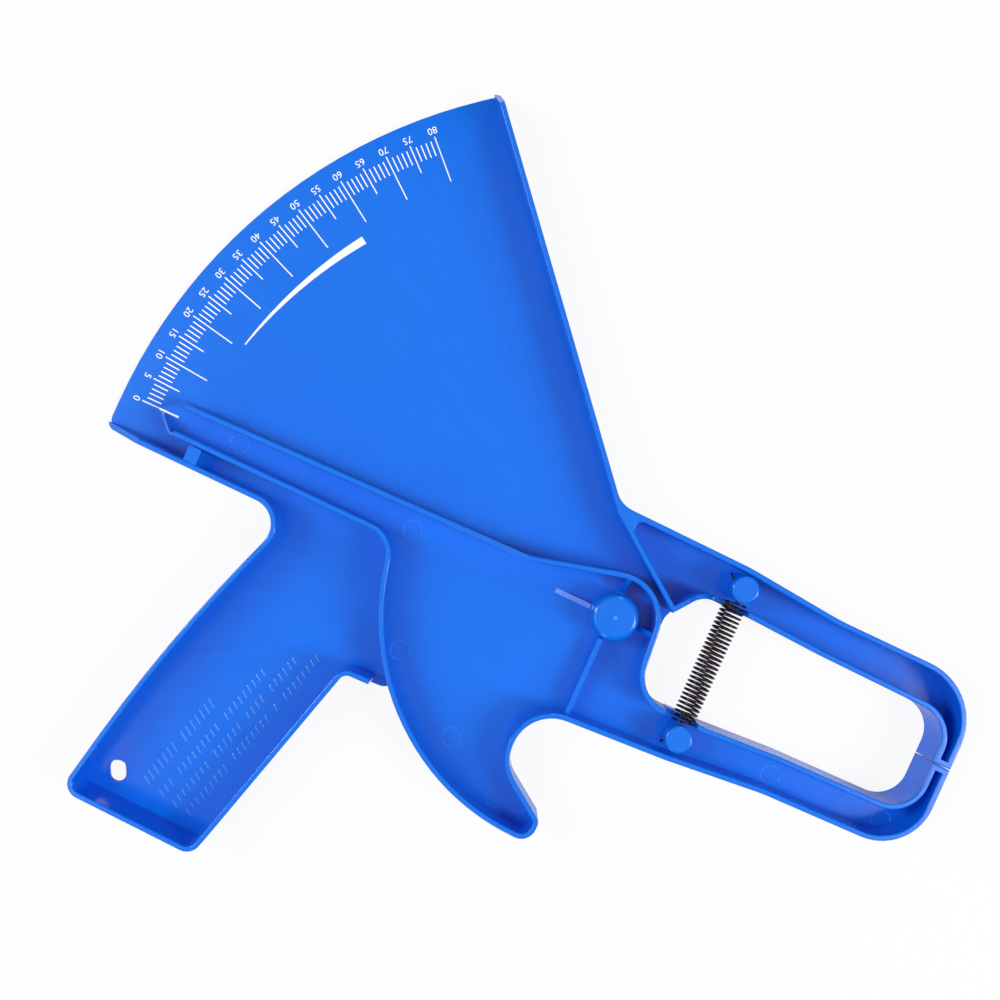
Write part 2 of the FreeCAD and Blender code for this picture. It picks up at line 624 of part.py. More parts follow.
def revolved(name, profile, x=0.0, y=0.0):
    """A round piece about a Z axis through (x, y); profile corners are (radius, height, rounding)."""
    body = doc.addObject("PartDesign::Body", name)
    sketch = new_sketch(body, f"{name}_profile", "0", "XZ_Plane")
    draw(sketch, profile)
    turn = body.newObject("PartDesign::Revolution", f"{name}_turned")
    turn.Profile = sketch
    turn.ReferenceAxis = (sketch, ["V_Axis"])
    turn.Angle = 360
    body.Placement = Placement(Vector(x, y, 0), Rotation())
    return body


def build_pivot():
    head_level = size.boss_height + size.running_gap
    revolved("pivot_pin", [
        (0, 0, 0.0),
        (size.pivot_radius, 0, 0.0),
        (size.pivot_radius, head_level, 0.0),
        (size.pivot_head_radius, head_level, 0.0),
        (size.pivot_head_radius, size.rim_height, size.pivot_head_rounding),
        (0, size.rim_height, 0.0)])
    revolved("pivot_cap", [
        (size.pivot_radius, 0, 0.0),
        (size.cap_radius, 0, 0.0),
        (size.cap_radius, size.recess_depth, 0.0),
        (size.pivot_radius, size.recess_depth, 0.0)])


def build_spring_pin(name, x, y):
    head_level = size.rim_height - size.pin_head_thickness
    foot = size.boss_height - size.pin_depth
    revolved(name, [
        (0, foot, 0.0),
        (size.pin_radius, foot, 0.0),
        (size.pin_radius, head_level, 0.0),
        (size.pin_head_radius, head_level, 0.0),
        (size.pin_head_radius, size.rim_height, size.pin_head_rounding),
        (0, size.rim_height, 0.0)], x, y)


# ---------------------------------------------------------------- spring

upper_pin = Vector(size.upper_pin_x, size.upper_pin_y, size.spring_level)
lower_pin = Vector(size.lower_pin_x, -size.lower_pin_y, size.spring_level)
spring_line = (lower_pin - upper_pin).normalize()
LOOP_SLACK = size.coil_radius - size.wire_radius - size.pin_radius
LEG_RELIEF = 0.97     # legs a little thinner than the loop, so that no two round faces coincide


def hook(pin, towards_coil, bar_length):
    """An end loop that lies in the plane of the pins' necks, with the leg and bar that join the coil."""
    centre = pin + towards_coil * LOOP_SLACK
    knee = pin + towards_coil * size.coil_start
    across = Vector(-towards_coil.y, towards_coil.x, 0)
    foot = centre + towards_coil * size.coil_radius
    loop = Part.makeTorus(size.coil_radius, size.wire_radius, centre, Vector(0, 0, 1))
    leg = Part.makeCylinder(size.wire_radius * LEG_RELIEF, (knee - foot).Length, foot, towards_coil)
    joint = Part.makeSphere(size.wire_radius, knee)
    bar = Part.makeCylinder(size.wire_radius * LEG_RELIEF, bar_length, knee, across)
    return loop.fuse([leg, joint, bar]), knee, across


def build_spring():
    upper_hook, coil_top, across = hook(upper_pin, spring_line, size.coil_radius)
    touching = size.coil_radius - size.wire_radius - 0.01
    lower_hook, coil_bottom, _ = hook(lower_pin, -spring_line, touching)
    length = (coil_bottom - coil_top).Length
    helix = Part.makeHelix(length / size.coil_count, length, size.coil_radius)
    section = Part.Wire(Part.makeCircle(size.wire_radius, Vector(size.coil_radius, 0, 0),
                                        Vector(0, 1, 0)))
    coil = Part.Wire(helix.Edges).makePipeShell([section], True, True)
    coil.Placement = Placement(coil_top,
                               Rotation(across, spring_line.cross(across), spring_line, "ZXY"))
    knuckle = Part.makeSphere(size.wire_radius * 1.05, coil_top + across * size.coil_radius)
    spring = doc.addObject("Part::Feature", "extension_spring")
    spring.Shape = upper_hook.fuse(knuckle).fuse(coil)
    lower = doc.addObject("Part::Feature", "spring_lower_hook")
    lower.Shape = lower_hook


# ---------------------------------------------------------------- printing

def opening_angle(reading):
    """Degrees that the lever turns for a reading: the pads' gap is a chord of the jaw reach."""
    return math.degrees(2 * math.asin(reading / 2 / size.jaw_reach))


def ring_reach(ring, angle):
    """Distance from the pivot to a ring about the centre of the arcs, in this direction."""
    ux, uy = unit(angle)
    nearest = arc_centre[0] * ux + arc_centre[1] * uy
    aside = arc_centre[0] * uy - arc_centre[1] * ux
    return nearest + math.sqrt(ring**2 - aside**2)


def mark(reading):
    """One bar of the scale: it points to the pivot, and ends on a ring about the centre of the arcs."""
    length, ring = size.mark_length, mark_ring
    if reading % 5 == 0:
        length, ring = size.mark_length_five, ring + size.mark_lead
    if reading % 10 == 0:
        length = size.mark_length_ten
    direction = 180 - opening_angle(reading)
    corner = Vector(ring_reach(ring, direction) - length, -size.mark_width / 2, size.floor_thickness)
    bar = Part.makeBox(length, size.mark_width, size.ink_thickness, corner)
    bar.rotate(Vector(), Vector(0, 0, 1), direction)
    return bar


WEDGE_START, WEDGE_END = 147.0, 167.0     # directions of its wide and its narrow end


def range_wedge():
    """A plain printed wedge inside the scale, wider towards the larger readings."""
    outer = mark_ring + size.mark_lead - size.mark_length_ten - size.wedge_gap
    middle = (WEDGE_START + WEDGE_END) / 2
    mean_width = (size.wedge_width + size.wedge_tip) / 2

    def point(radius, angle):
        ux, uy = unit(angle)
        return Vector(arc_centre[0] + radius * ux, arc_centre[1] + radius * uy, size.floor_thickness)

    wide, narrow = point(outer, WEDGE_START), point(outer, WEDGE_END)
    wide_in = point(outer - size.wedge_width, WEDGE_START)
    narrow_in = point(outer - size.wedge_tip, WEDGE_END)
    outline = [Part.Arc(wide, point(outer, middle), narrow).toShape(),
               Part.makeLine(narrow, narrow_in),
               Part.Arc(narrow_in, point(outer - mean_width, middle), wide_in).toShape(),
               Part.makeLine(wide_in, wide)]
    return Part.Face(Part.Wire(outline)).extrude(Vector(0, 0, size.ink_thickness))


def build_printing():
    marks = doc.addObject("Part::Feature", "scale_marks")
    marks.Shape = Part.makeCompound([mark(reading) for reading in range(int(size.reading_max) + 1)])
    wedge = doc.addObject("Part::Feature", "range_wedge")
    wedge.Shape = range_wedge()
    line = doc.addObject("Part::Box", "index_line")
    line.setExpression("Length", "Sizes.index_length")
    line.setExpression("Width", "Sizes.index_width")
    line.setExpression("Height", "Sizes.ink_thickness")
    line.Placement = Placement(Vector(-pointer_reach + size.index_margin, -size.index_width / 2, web_top),
                               Rotation())


# ---------------------------------------------------------------- build, check, write

build_frame()
build_lever()
build_pivot()
build_spring_pin("upper_spring_pin", size.upper_pin_x, size.upper_pin_y)
build_spring_pin("lower_spring_pin", size.lower_pin_x, -size.lower_pin_y)
build_spring()
build_printing()
doc.recompute()

NODES = ("frame_body", "lever", "pivot_pin", "pivot_cap", "upper_spring_pin", "lower_spring_pin",
         "extension_spring", "spring_lower_hook", "scale_marks", "range_wedge", "index_line")

for item in doc.Objects:
    if "Invalid" in item.State or "Error" in item.State:
        raise RuntimeError(f"{item.Name} failed: {item.State}")
os.makedirs("parts", exist_ok=True)
for node in NODES:
    shape = doc.getObject(node).Shape
    if shape.isNull() or not shape.isValid():
        raise RuntimeError(f"{node} has no valid shape")
    doc.getObject(node).Label = node
for node in NODES:
    shape = doc.getObject(node).Shape
    shape.exportStep(f"parts/{node}.step")
    box = shape.BoundBox
    print(f"{node}: {len(shape.Solids)} solids, {shape.Volume:.1f} mm3, "
          f"x {box.XMin:.2f}..{box.XMax:.2f}, y {box.YMin:.2f}..{box.YMax:.2f}, "
          f"z {box.ZMin:.2f}..{box.ZMax:.2f}")
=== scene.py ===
# %% [markdown]
# # A plastic skinfold caliper
#
# This caliper measures a pinched fold of skin. It has two blue mouldings: a frame, which is the
# sector plate, the handle and the fixed jaw, and a lever, which is pointer, trigger and moving
# jaw. Both are thin trays with the open side up. A steel spring closes the jaws, and the scale is
# printed in white.
#
# The solids come from CAD and are the frame of this scene. They are exact, so Blender's work here
# is their finish, and the pieces that are too fine or too springy for the CAD: the wound spring,
# the printed numbers, the grip strokes, the rims round the ejector marks and the gate's mark.

# %% Start: the tools, the frame and its size
import math

import bpy
from mathutils import Matrix, Vector


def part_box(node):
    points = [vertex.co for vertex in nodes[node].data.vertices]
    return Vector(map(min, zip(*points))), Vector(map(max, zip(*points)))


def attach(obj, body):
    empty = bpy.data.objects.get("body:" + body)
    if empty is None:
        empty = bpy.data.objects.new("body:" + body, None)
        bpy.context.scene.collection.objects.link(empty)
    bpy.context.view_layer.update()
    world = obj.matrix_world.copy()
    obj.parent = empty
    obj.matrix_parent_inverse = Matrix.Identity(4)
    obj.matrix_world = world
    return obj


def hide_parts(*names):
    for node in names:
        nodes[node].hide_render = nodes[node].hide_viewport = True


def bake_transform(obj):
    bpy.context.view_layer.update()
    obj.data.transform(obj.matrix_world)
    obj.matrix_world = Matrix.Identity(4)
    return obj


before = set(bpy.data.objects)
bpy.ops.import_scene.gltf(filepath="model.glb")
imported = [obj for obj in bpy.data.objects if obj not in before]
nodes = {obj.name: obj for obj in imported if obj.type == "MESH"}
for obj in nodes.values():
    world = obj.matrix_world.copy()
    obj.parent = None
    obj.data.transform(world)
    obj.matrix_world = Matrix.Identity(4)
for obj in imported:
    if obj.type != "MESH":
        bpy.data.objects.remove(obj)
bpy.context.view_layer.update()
MM = 0.001
print("nodes:", sorted(nodes))


# %% [markdown]
# ## Arithmetic on shader sockets
#
# A finish is mostly sums: a bit more of this where that is high. In Blender each sum is a Math
# node, and a page of node calls hides the idea. So one small class wraps a socket and takes part
# in Python's own arithmetic: `1 - mask` adds a Subtract node and gives back its result. Every
# other kind of node comes from one method of the second class.

# %% A socket that can be added and multiplied
class Signal:
    """One output of a shader node."""

    def __init__(self, bench, socket):
        self.bench = bench
        self.socket = socket

    def output(self, name):
        """Another output of the same node."""
        return Signal(self.bench, self.socket.node.outputs[name])

    def _sum(self, operation, first, second):
        return self.bench.node("ShaderNodeMath", {"operation": operation}, {0: first, 1: second})

    def __add__(self, other):
        return self._sum("ADD", self, other)

    def __radd__(self, other):
        return self._sum("ADD", other, self)

    def __sub__(self, other):
        return self._sum("SUBTRACT", self, other)

    def __rsub__(self, other):
        return self._sum("SUBTRACT", other, self)

    def __mul__(self, other):
        return self._sum("MULTIPLY", self, other)

    def __rmul__(self, other):
        return self._sum("MULTIPLY", other, self)

    def __gt__(self, other):
        return self._sum("GREATER_THAN", self, other)

    def __lt__(self, other):
        return self._sum("LESS_THAN", self, other)


# %% A bench that builds one material, or the room
class Bench:
    """The nodes of a material or a world, under construction."""

    def __init__(self, owner):
        self.owner = owner
        owner.use_nodes = True
        self.tree = owner.node_tree
        self.tree.nodes.clear()

    def node(self, kind, settings=None, inputs=None, output=0):
        """Adds a node: its settings first, then the values or links of its sockets."""
        made = self.tree.nodes.new(kind)
        for name, value in (settings or {}).items():
            if name == "stops":
                self._set_stops(made.color_ramp, value)
            else:
                setattr(made, name, value)
        for key, value in (inputs or {}).items():
            if isinstance(value, Signal):
                self.tree.links.new(value.socket, made.inputs[key])
            else:
                made.inputs[key].default_value = value
        return Signal(self, made.outputs[output]) if len(made.outputs) else None

    def _set_stops(self, ramp, stops):
        while len(ramp.elements) < len(stops):
            ramp.elements.new(1.0)
        for element, (place, level) in zip(ramp.elements, stops):
            element.position = place
            element.color = (level, level, level, 1.0)

    def place(self):
        """The point on the surface, in metres, which moves with its piece."""
        return self.node("ShaderNodeTexCoord", output="Object")

    def noise(self, size_mm, where=None, detail=3.0, roughness=0.5):
        """Cloudy noise from 0 to 1 whose blotches are about this large."""
        settings = {"noise_dimensions": "3D"}
        inputs = {"Vector": where or self.place(), "Scale": 1 / (size_mm * MM),
                  "Detail": detail, "Roughness": roughness}
        return self.node("ShaderNodeTexNoise", settings, inputs)

    def ramp(self, factor, *stops):
        """A curve from stops of (place, level)."""
        return self.node("ShaderNodeValToRGB", {"stops": stops}, {"Fac": factor})

    def mix_colours(self, factor, first, second):
        """From the first colour to the second; a Mix node's colours are sockets 6, 7 and 2."""
        inputs = {0: factor, 6: first, 7: second}
        return self.node("ShaderNodeMix", {"data_type": "RGBA"}, inputs, 2)

    def bump(self, height, depth_mm, strength=1.0, normal=None):
        """A relief of this depth, on top of an earlier one if there is one."""
        inputs = {"Height": height, "Distance": depth_mm * MM, "Strength": strength}
        if normal is not None:
            inputs["Normal"] = normal
        return self.node("ShaderNodeBump", None, inputs)

    def finish(self, **sockets):
        """The principled shader with these sockets, as the material's surface."""
        inputs = {name.replace("_", " "): value for name, value in sockets.items()}
        shader = self.node("ShaderNodeBsdfPrincipled", None, inputs)
        self.node("ShaderNodeOutputMaterial", None, {"Surface": shader})
        return self.owner


# %% [markdown]
# ## The blue moulded plastic
#
# Both mouldings are glossy blue plastic. A polished mould leaves a surface that is smooth but
# never perfect: the melt that fans out from the gate near the pivot leaves faint streaks, the skin
# has a shallow orange peel, and handling leaves patches that shine a little less. A flat colour
# would look like paint on glass, so each of these is its own faint layer. The small raised pieces
# get the same finish in paler colours: a painted highlight, so that they read lighter than the
# floor.

# %% Streaks and specks
STREAK_SIZE = 9                 # mm
STREAK_ACROSS = 0.30            # the smaller these two, the more the noise is drawn out
STREAK_ALONG = 0.35
SPECK_SPACING = 6.5 * MM
SPECK_RADIUS = 0.022            # of the spacing
SPECK_CHOICE = 0.72             # a cell whose random red is above this gets a speck
SPECK_STRENGTH = 0.8


def melt_streaks(bench):
    """Noise drawn out along the lines that fan out from the pivot."""
    x = bench.node("ShaderNodeSeparateXYZ", None, {"Vector": bench.place()})
    y = x.output("Y")
    angle = bench.node("ShaderNodeMath", {"operation": "ARCTAN2"}, {0: y, 1: 0 - x})
    away = bench.node("ShaderNodeVectorMath", {"operation": "LENGTH"}, {0: bench.place()}, "Value")
    fan = bench.node("ShaderNodeCombineXYZ", None,
                     {"X": angle * STREAK_ACROSS, "Y": away * STREAK_ALONG})
    return bench.noise(STREAK_SIZE, fan, detail=3.0, roughness=0.6)


def dust_specks(bench):
    """A few pale specks about 0.3 mm wide."""
    settings = {"feature": "F1", "distance": "EUCLIDEAN"}
    inputs = {"Vector": bench.place(), "Scale": 1 / SPECK_SPACING, "Randomness": 1.0}
    cell = bench.node("ShaderNodeTexVoronoi", settings, inputs)
    chosen = bench.node("ShaderNodeSeparateColor", None, {"Color": cell.output("Color")})
    return (cell < SPECK_RADIUS) * (chosen > SPECK_CHOICE) * SPECK_STRENGTH


# %% Blue plastic
BLUE = (0.002, 0.170, 0.830, 1.0)
BLUE_DEEP = (0.001, 0.150, 0.775, 1.0)
BLUE_PALE = (0.025, 0.210, 0.880, 1.0)
# paler copies of the blue for the small raised pieces: a painted highlight that makes them read
# lighter
PAINTED_SHEEN_BLUE = (0.100, 0.340, 0.930, 1.0)
PAINTED_SHEEN_BLUE_DEEP = (0.060, 0.275, 0.880, 1.0)
CLOUD_SIZE, HANDLING_SIZE, PEEL_SIZE, GRAIN_SIZE = 45, 28, 2.6, 0.9      # mm
PEEL_DEPTH, GRAIN_DEPTH = 0.035, 0.006                                   # mm
CLOUD_SHARE, STREAK_SHARE = 0.55, 0.45
POLISHED, HANDLED, GRAINED = 0.15, 0.07, 0.03       # roughness, and what each layer adds to it
PLASTIC_IOR = 1.46


def moulded_blue(name, deep, full):
    bench = Bench(bpy.data.materials.new(name))
    clouds = bench.noise(CLOUD_SIZE, detail=2.0)
    grain = bench.noise(GRAIN_SIZE, detail=2.0)
    peel = bench.noise(PEEL_SIZE, detail=1.0)
    touched = bench.noise(HANDLING_SIZE, detail=4.0, roughness=0.62)
    handling = bench.ramp(touched, (0.44, 0.0), (0.72, 1.0))
    tone = CLOUD_SHARE * clouds + STREAK_SHARE * melt_streaks(bench)
    colour = bench.mix_colours(bench.ramp(tone, (0.30, 0.0), (0.70, 1.0)), deep, full)
    colour = bench.mix_colours(dust_specks(bench), colour, BLUE_PALE)
    gloss = POLISHED + HANDLED * handling + GRAINED * grain
    skin = bench.bump(peel, PEEL_DEPTH, 0.55)
    skin = bench.bump(grain, GRAIN_DEPTH, 0.50, skin)
    return bench.finish(Base_Color=colour, Roughness=gloss, Normal=skin, IOR=PLASTIC_IOR)


plastic = moulded_blue("blue_plastic", BLUE_DEEP, BLUE)
# the same finish in the paler blue: a painted highlight for the raised strokes, rims and gate dot
sheen_painted_plastic = moulded_blue("sheen_painted_blue", PAINTED_SHEEN_BLUE_DEEP, PAINTED_SHEEN_BLUE)
print("blue plastic:", len(plastic.node_tree.nodes), "nodes")


# %% [markdown]
# ## Spring steel
#
# The spring is wound from dark drawn wire and was tempered after winding, which left a thin oxide
# skin that is brown in one place and violet in the next. It is a metal, so its colour sits in the
# reflection, and soft patches of the two tints run along the wire.

# %% Dark spring wire
WIRE_BROWN = (0.066, 0.045, 0.032, 1.0)
WIRE_VIOLET = (0.052, 0.038, 0.068, 1.0)
TINT_SIZE, SCUFF_SIZE, SCUFF_DEPTH = 5.0, 0.45, 0.010       # mm
DRAWN, SCUFFED = 0.20, 0.16         # roughness of the drawn wire, and what the scuffs add


def tempered_wire(name):
    bench = Bench(bpy.data.materials.new(name))
    tint = bench.ramp(bench.noise(TINT_SIZE, detail=2.0), (0.38, 0.0), (0.62, 1.0))
    scuffs = bench.noise(SCUFF_SIZE, detail=3.0, roughness=0.7)
    colour = bench.mix_colours(tint, WIRE_BROWN, WIRE_VIOLET)
    skin = bench.bump(scuffs, SCUFF_DEPTH, 0.5)
    gloss = DRAWN + SCUFFED * scuffs
    return bench.finish(Base_Color=colour, Metallic=1.0, Roughness=gloss, Normal=skin)


steel = tempered_wire("spring_steel")
print("spring steel:", len(steel.node_tree.nodes), "nodes")


# %% [markdown]
# ## Printing ink
#
# The scale is pad printed: a thin, even, matt white. Where the ink is thin the plastic shows
# through a little, so a fine noise pulls the white towards pale blue in small places.

# %% White ink
INK_WHITE = (0.93, 0.95, 0.97, 1.0)
INK_THIN = (0.62, 0.74, 0.92, 1.0)
THIN_SIZE = 0.35                    # mm
MATT, THIN_ADDS = 0.46, 0.1         # roughness of the ink, and what thin places add


def printed_white(name):
    bench = Bench(bpy.data.materials.new(name))
    thin = bench.ramp(bench.noise(THIN_SIZE, detail=2.0), (0.60, 0.0), (0.78, 0.55))
    colour = bench.mix_colours(thin, INK_WHITE, INK_THIN)
    return bench.finish(Base_Color=colour, Roughness=MATT + THIN_ADDS * thin)


ink = printed_white("white_print")
print("white ink:", len(ink.node_tree.nodes), "nodes")


# %% [markdown]
# ## Finishing the CAD nodes
#
# A CAD node keeps its shape and only gets a material. Each of them has one slot to fill.

# %% Materials on the CAD nodes
FINISHES = {
    "frame_body": plastic,
    "lever": plastic,
    "pivot_pin": plastic,
    "pivot_cap": plastic,
    "upper_spring_pin": plastic,
    "lower_spring_pin": plastic,
    "extension_spring": steel,
    "spring_lower_hook": steel,
    "scale_marks": ink,
    "range_wedge": ink,
    "index_line": ink,
}


def dress(node, material):
    node.data.materials.clear()
    node.data.materials.append(material)


for name, material in FINISHES.items():
    dress(nodes[name], material)
print("finished:", len(FINISHES), "CAD nodes")


# %% [markdown]
# ## The spring
#
# In the CAD the spring is a rigid coil and a loose lower hook. The real one is a single wire that
# stretches. A mesh tube along one line of points makes all of it: hook, coil and hook in one
# piece.

# %% Where the spring hangs
def middle(node_name):
    low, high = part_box(node_name)
    return (Vector(low) + Vector(high)) / 2


spring_level = middle("spring_lower_hook").z
upper_pin = Vector((middle("upper_spring_pin").x, middle("upper_spring_pin").y, spring_level))
lower_pin = Vector((middle("lower_spring_pin").x, middle("lower_spring_pin").y, spring_level))
spring_axis = (lower_pin - upper_pin).normalized()
spring_side = Vector((-spring_axis.y, spring_axis.x, 0))
spring_length = (lower_pin - upper_pin).length


def wire_point(along, across, up):
    return upper_pin + spring_axis * along + spring_side * across + Vector((0, 0, up))


print("pins:", round(spring_length / MM, 1), "mm apart")

# %% The hooks
WIRE_RADIUS = 0.33 * MM
PIN_RADIUS = 1.9 * MM
HOOK_RADIUS = 2.82 * MM
HOOK_FROM, HOOK_TO, HOOK_STEPS = 112, 352, 30       # degrees round the pin, and points
UPPER_TAIL = (2.9 * MM, 4.8 * MM)       # cut end of the wire: past the pin's middle, and aside
LOWER_TAIL = (3.3 * MM, 3.7 * MM)
KNEE_BEND, KNEE_STEPS = 0.9 * MM, 6
COIL_START = 4.65 * MM


def hook_points(pin_along, inwards, knee_side, tail):
    """From the cut end of the wire, round the pin, and out to the start of the coil."""
    past, aside = tail
    slack = HOOK_RADIUS - WIRE_RADIUS - PIN_RADIUS
    centre = pin_along + inwards * slack
    points = [wire_point(pin_along - inwards * past, -aside, 0)]
    for step in range(HOOK_STEPS + 1):
        angle = math.radians(HOOK_FROM + (HOOK_TO - HOOK_FROM) * step / HOOK_STEPS)
        points.append(wire_point(centre + inwards * HOOK_RADIUS * math.cos(angle),
                                 -HOOK_RADIUS * math.sin(angle), 0))
    knee = pin_along + inwards * COIL_START
    for step in range(KNEE_STEPS + 1):
        angle = math.radians(90 * step / KNEE_STEPS)
        points.append(wire_point(knee - inwards * KNEE_BEND * (1 - math.sin(angle)),
                                 knee_side * KNEE_BEND * (1 - math.cos(angle)), 0))
    return points


# %% The coil between them
COIL_RADIUS = 3.30 * MM
COIL_LIFT = 0.20 * MM           # the lift and the shift keep the coil clear of its notches at
COIL_SHIFT = -0.20 * MM         # rest; with the jaws wide open it still touches the lever
COIL_LEAN = -0.18 * MM          # the pull of the hooks leans each turn over a little
COIL_TURNS = 28.5
POINTS_PER_TURN = 26


def spring_line():
    upper = hook_points(0, 1, 1, UPPER_TAIL)
    lower = hook_points(spring_length, -1, -1, LOWER_TAIL)
    first, last = COIL_START, spring_length - COIL_START
    steps = int(COIL_TURNS * POINTS_PER_TURN)
    coil = []
    for step in range(steps + 1):
        share = step / steps
        angle = 2 * math.pi * COIL_TURNS * share
        along = first + (last - first) * share + COIL_LEAN * math.sin(angle)
        lift = COIL_LIFT + COIL_RADIUS * math.sin(angle)
        coil.append(wire_point(along, COIL_SHIFT + COIL_RADIUS * math.cos(angle), lift))
    return upper + coil + lower[::-1]


# %% Meshes made of rings
def band(low, high, sides):
    """The faces between two rings, whose points start at these two numbers."""
    corners = [(side, (side + 1) % sides) for side in range(sides)]
    return [(low + here, low + there, high + there, high + here) for here, there in corners]


def stack(count, sides):
    """The faces round a stack of rings with this many points in all, closed at both ends."""
    last = count - sides
    faces = [face for low in range(0, last, sides) for face in band(low, low + sides, sides)]
    return faces + [tuple(range(sides))[::-1], tuple(range(last, count))]


def new_mesh(name, points, faces):
    mesh = bpy.data.meshes.new(name)
    mesh.from_pydata([tuple(point) for point in points], [], faces)
    mesh.update()
    return mesh


def add_piece(name, shape, material):
    piece = bpy.data.objects.new(name, shape)
    bpy.context.scene.collection.objects.link(piece)
    piece.data.materials.append(material)
    return piece


# %% The tube round the wire's line
WIRE_SIDES = 10


def tube(name, points, radius, sides):
    """A round tube along the points, closed at both ends, with no twist."""
    rings = []
    forward = (points[1] - points[0]).normalized()
    side = forward.orthogonal().normalized()
    for index, point in enumerate(points):
        before, after = points[max(index - 1, 0)], points[min(index + 1, len(points) - 1)]
        forward = (after - before).normalized()
        side = (side - forward * side.dot(forward)).normalized()
        up = forward.cross(side)
        for step in range(sides):
            angle = 2 * math.pi * step / sides
            rings.append(point + (side * math.cos(angle) + up * math.sin(angle)) * radius)
    mesh = new_mesh(name, rings, stack(len(rings), sides))
    for face in mesh.polygons:
        face.use_smooth = len(face.vertices) == 4
    return mesh


wire = tube("wound_spring", spring_line(), WIRE_RADIUS, WIRE_SIDES)
spring = add_piece("wound_spring", wire, steel)
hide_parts("extension_spring", "spring_lower_hook")
tuple(wire_point(COIL_START, 0, 0))
tuple(wire_point(spring_length - COIL_START, 0, 0))
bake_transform(spring)
print("spring:", len(wire.vertices), "points, coil radius", round(COIL_RADIUS / MM, 2), "mm")


# %% [markdown]
# ## The numbers of the scale
#
# A number stands at every fifth mark, just outside it, with its top towards the pivot, so that it
# reads upright from beyond the rim. Blender's own font has plain, open digits. Each number is a
# text object: it stays sharp at any size, and a small extrusion gives the ink its thickness.

# %% Where a number stands
SCALE_END, NUMBER_STEP = 80, 5
JAW_REACH = 104.05                          # mm from the pivot to the pads
NUMBER_RING = 157.45 * MM
RING_CENTRE = Vector((0.5, -2.9)) * MM      # the sector's edge and its scale share this centre
floor_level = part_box("scale_marks")[0][2]


def mark_direction(reading):
    """Direction of a mark from the pivot: the pads' gap is a chord of their reach."""
    return math.pi - 2 * math.asin(reading / 2 / JAW_REACH)


def number_place(direction):
    """Where the line from the pivot in this direction meets the ring of the numbers."""
    along = Vector((math.cos(direction), math.sin(direction)))
    aside = RING_CENTRE.cross(along)
    return along * (RING_CENTRE.dot(along) + math.sqrt(NUMBER_RING**2 - aside**2))


# %% Numbers
NUMBER_HEIGHT = 2.95 * MM
NUMBER_SPACING = 1.04
INK_THICKNESS = 0.06 * MM
INK_SPREAD = 0.01 * MM


def number(reading):
    text = bpy.data.curves.new(f"number_{reading}", "FONT")
    text.body = str(reading)
    text.size = NUMBER_HEIGHT
    text.align_x = "CENTER"
    text.align_y = "CENTER"
    text.extrude = INK_THICKNESS / 2
    text.offset = INK_SPREAD
    text.space_character = NUMBER_SPACING
    piece = add_piece(f"number_{reading}", text, ink)
    direction = mark_direction(reading)
    piece.location = (*number_place(direction), floor_level + INK_THICKNESS / 2)
    piece.rotation_euler = (0, 0, direction + math.pi / 2)
    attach(piece, "frame")
    return piece


numbers = [number(reading) for reading in range(0, SCALE_END + 1, NUMBER_STEP)]
print("numbers:", len(numbers))


# %% [markdown]
# ## The grip texture on the handle
#
# The floor of the handle carries four rows of fine raised strokes under the palm. They are only a
# quarter of a millimetre high, so they are one light mesh: each stroke is a low ridge with a
# pointed end, and short groups of them run along the handle.

# %% One stroke
STROKE_HEIGHT = 0.24 * MM
STROKE_WIDTH = 0.70 * MM
STROKE_SINK = 0.05 * MM
TIP_LENGTH = 0.6                            # of the width
SHOULDER_WIDTH, SHOULDER_HEIGHT = 0.55, 0.8         # of the stroke's
SHOULDER_IN, CREST_IN = 1.2, 1.6            # how far in from the ends, in tips
STROKE_FACES = ((1, 6, 7, 2), (2, 7, 3), (3, 8, 4), (3, 7, 11), (3, 11, 8), (4, 8, 9, 5),
                (5, 9, 0), (0, 6, 1), (0, 10, 6), (0, 9, 10), (6, 10, 11, 7), (9, 8, 11, 10),
                (0, 1, 2, 3, 4, 5))


def stroke(points, faces, foot, direction, length):
    """A low ridge from foot along direction; its base sinks a little into the floor."""
    across = Vector((-direction.y, direction.x, 0)) * STROKE_WIDTH / 2
    tip = direction * STROKE_WIDTH * TIP_LENGTH
    sunk = Vector((0, 0, -STROKE_SINK))
    crest = Vector((0, 0, STROKE_HEIGHT))
    head = foot + direction * length
    shoulder = across * SHOULDER_WIDTH
    lift = crest * SHOULDER_HEIGHT
    inner, middle_in = tip * SHOULDER_IN, tip * CREST_IN
    first = len(points)
    points += [foot + sunk, foot + tip + across + sunk, head - tip + across + sunk, head + sunk,
               head - tip - across + sunk, foot + tip - across + sunk,
               foot + inner + shoulder + lift, head - inner + shoulder + lift,
               head - inner - shoulder + lift, foot + inner - shoulder + lift,
               foot + middle_in + crest, head - middle_in + crest]
    faces += [tuple(first + corner for corner in face) for face in STROKE_FACES]


# %% Rows of strokes
GRIP_ANGLE = math.radians(74.5)
STROKE_SLANT = math.radians(18)
STROKE_PITCH = 2.15 * MM
GROUP_GAP = 2.2 * MM
GRIP_ROWS = (
    # lower end of the row (mm), stroke length (mm), strokes in each group
    ((-106.4, -103.4), 4.0, (7, 7)),
    ((-100.6, -105.2), 3.0, (3, 9, 9)),
    ((-95.8, -106.4), 3.0, (8, 6, 4, 6)),
    ((-90.9, -107.0), 3.0, (9, 8, 1, 8)),
)


